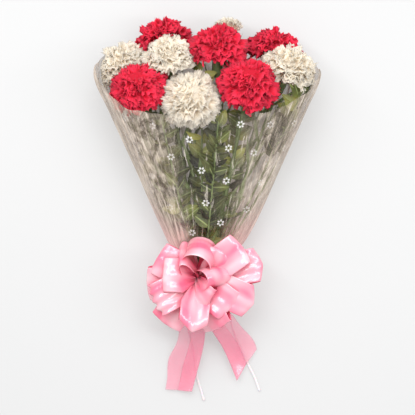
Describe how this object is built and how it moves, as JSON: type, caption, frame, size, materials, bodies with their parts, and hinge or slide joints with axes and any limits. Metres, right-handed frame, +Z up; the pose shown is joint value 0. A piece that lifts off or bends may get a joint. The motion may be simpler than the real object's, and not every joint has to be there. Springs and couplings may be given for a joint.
{
  "type": "bunch of carnations",
  "caption": "Hand-tied bunch of red and white carnations on leafy stems, lying on its back in a printed clear film cone with a pink pull bow and two ribbon tails.",
  "frame": {"origin": "middle of the bunch's box on the surface it lies on", "axes": "+Y along the bunch from the ribbon tails to the flowers, +Z up from the surface, +X to the right with the flowers away from you"},
  "size_m": [0.2556, 0.4448, 0.1187],
  "materials": {
    "petal_red": "soft matt petals",
    "petal_white": "soft matt petals",
    "stem": "smooth green stem with a waxy bloom",
    "leaf": "satin leaf",
    "band": "matt",
    "film": "clear glossy film with a white print",
    "pull_string": "glossy",
    "ribbon": "satin"
  },
  "bodies": {
    "root": {"bloom_red_front_left": "petal_red", "bloom_white_front_middle": "petal_white", "bloom_red_front_right": "petal_red", "bloom_red_middle": "petal_red", "bloom_white_left_inner": "petal_white", "bloom_white_left_outer": "petal_white", "bloom_white_right": "petal_white", "bloom_red_back_left": "petal_red", "bloom_red_back_right": "petal_red", "bloom_white_back_bud": "petal_white", "stem_red_front_left": "stem", "stem_white_front_middle": "stem", "stem_red_front_right": "stem", "stem_red_middle": "stem", "stem_white_left_inner": "stem", "stem_white_left_outer": "stem", "stem_white_right": "stem", "stem_red_back_left": "stem", "stem_red_back_right": "stem", "stem_white_back_bud": "stem", "foliage_right": "leaf", "foliage_right_front": "leaf", "foliage_front_middle": "leaf", "foliage_left_front": "leaf", "foliage_middle": "leaf", "foliage_back_right": "leaf", "foliage_back_left": "leaf", "stem_band": "band", "film_sleeve": "film", "pull_string_ring": "pull_string", "bow": "ribbon", "ribbon_tail_left": "ribbon", "ribbon_tail_right": "ribbon", "pull_string_left": "pull_string", "pull_string_right": "pull_string"}
  },
  "joints": []
}
